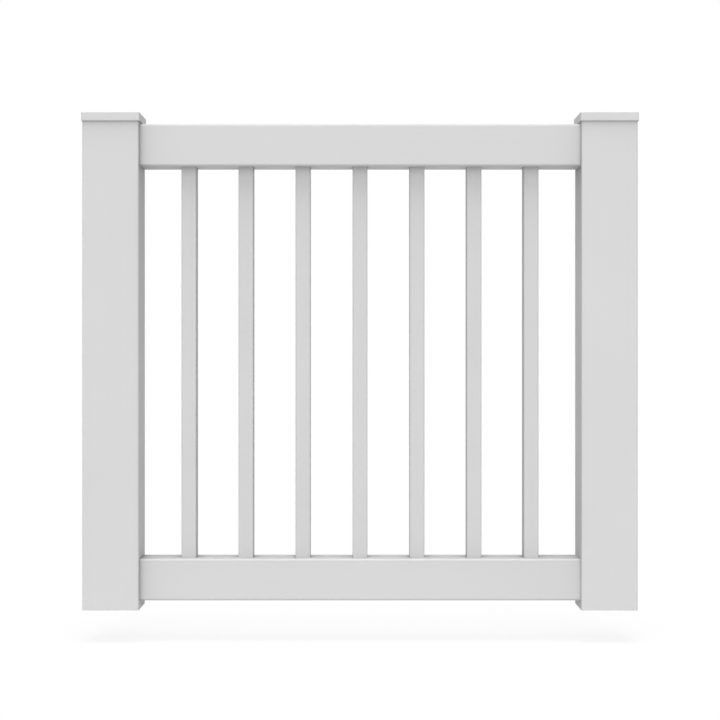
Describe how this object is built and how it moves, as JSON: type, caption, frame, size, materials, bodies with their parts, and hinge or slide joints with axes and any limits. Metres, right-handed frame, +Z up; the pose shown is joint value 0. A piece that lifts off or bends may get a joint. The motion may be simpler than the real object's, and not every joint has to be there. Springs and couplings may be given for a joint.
{
  "type": "vinyl railing gate",
  "caption": "White vinyl railing gate leaf: square uprights with flat caps, top and bottom rails set into them, and evenly spaced slim balusters between the rails.",
  "frame": {"origin": "on the outer face of the left upright, at its foot and in the middle of its depth", "axes": "+X from the hinge side to the latch side, +Y from front to back, +Z up"},
  "size_m": [1.0038, 0.1054, 0.8965],
  "materials": {
    "extruded_vinyl": "satin",
    "moulded_cap": "satin"
  },
  "bodies": {
    "root": {"left_upright": "extruded_vinyl", "right_upright": "extruded_vinyl", "left_cap": "moulded_cap", "right_cap": "moulded_cap", "bottom_rail": "extruded_vinyl", "top_rail": "extruded_vinyl", "baluster_1": "extruded_vinyl", "baluster_2": "extruded_vinyl", "baluster_3": "extruded_vinyl", "baluster_4": "extruded_vinyl", "baluster_5": "extruded_vinyl", "baluster_6": "extruded_vinyl", "baluster_7": "extruded_vinyl"}
  },
  "joints": []
}
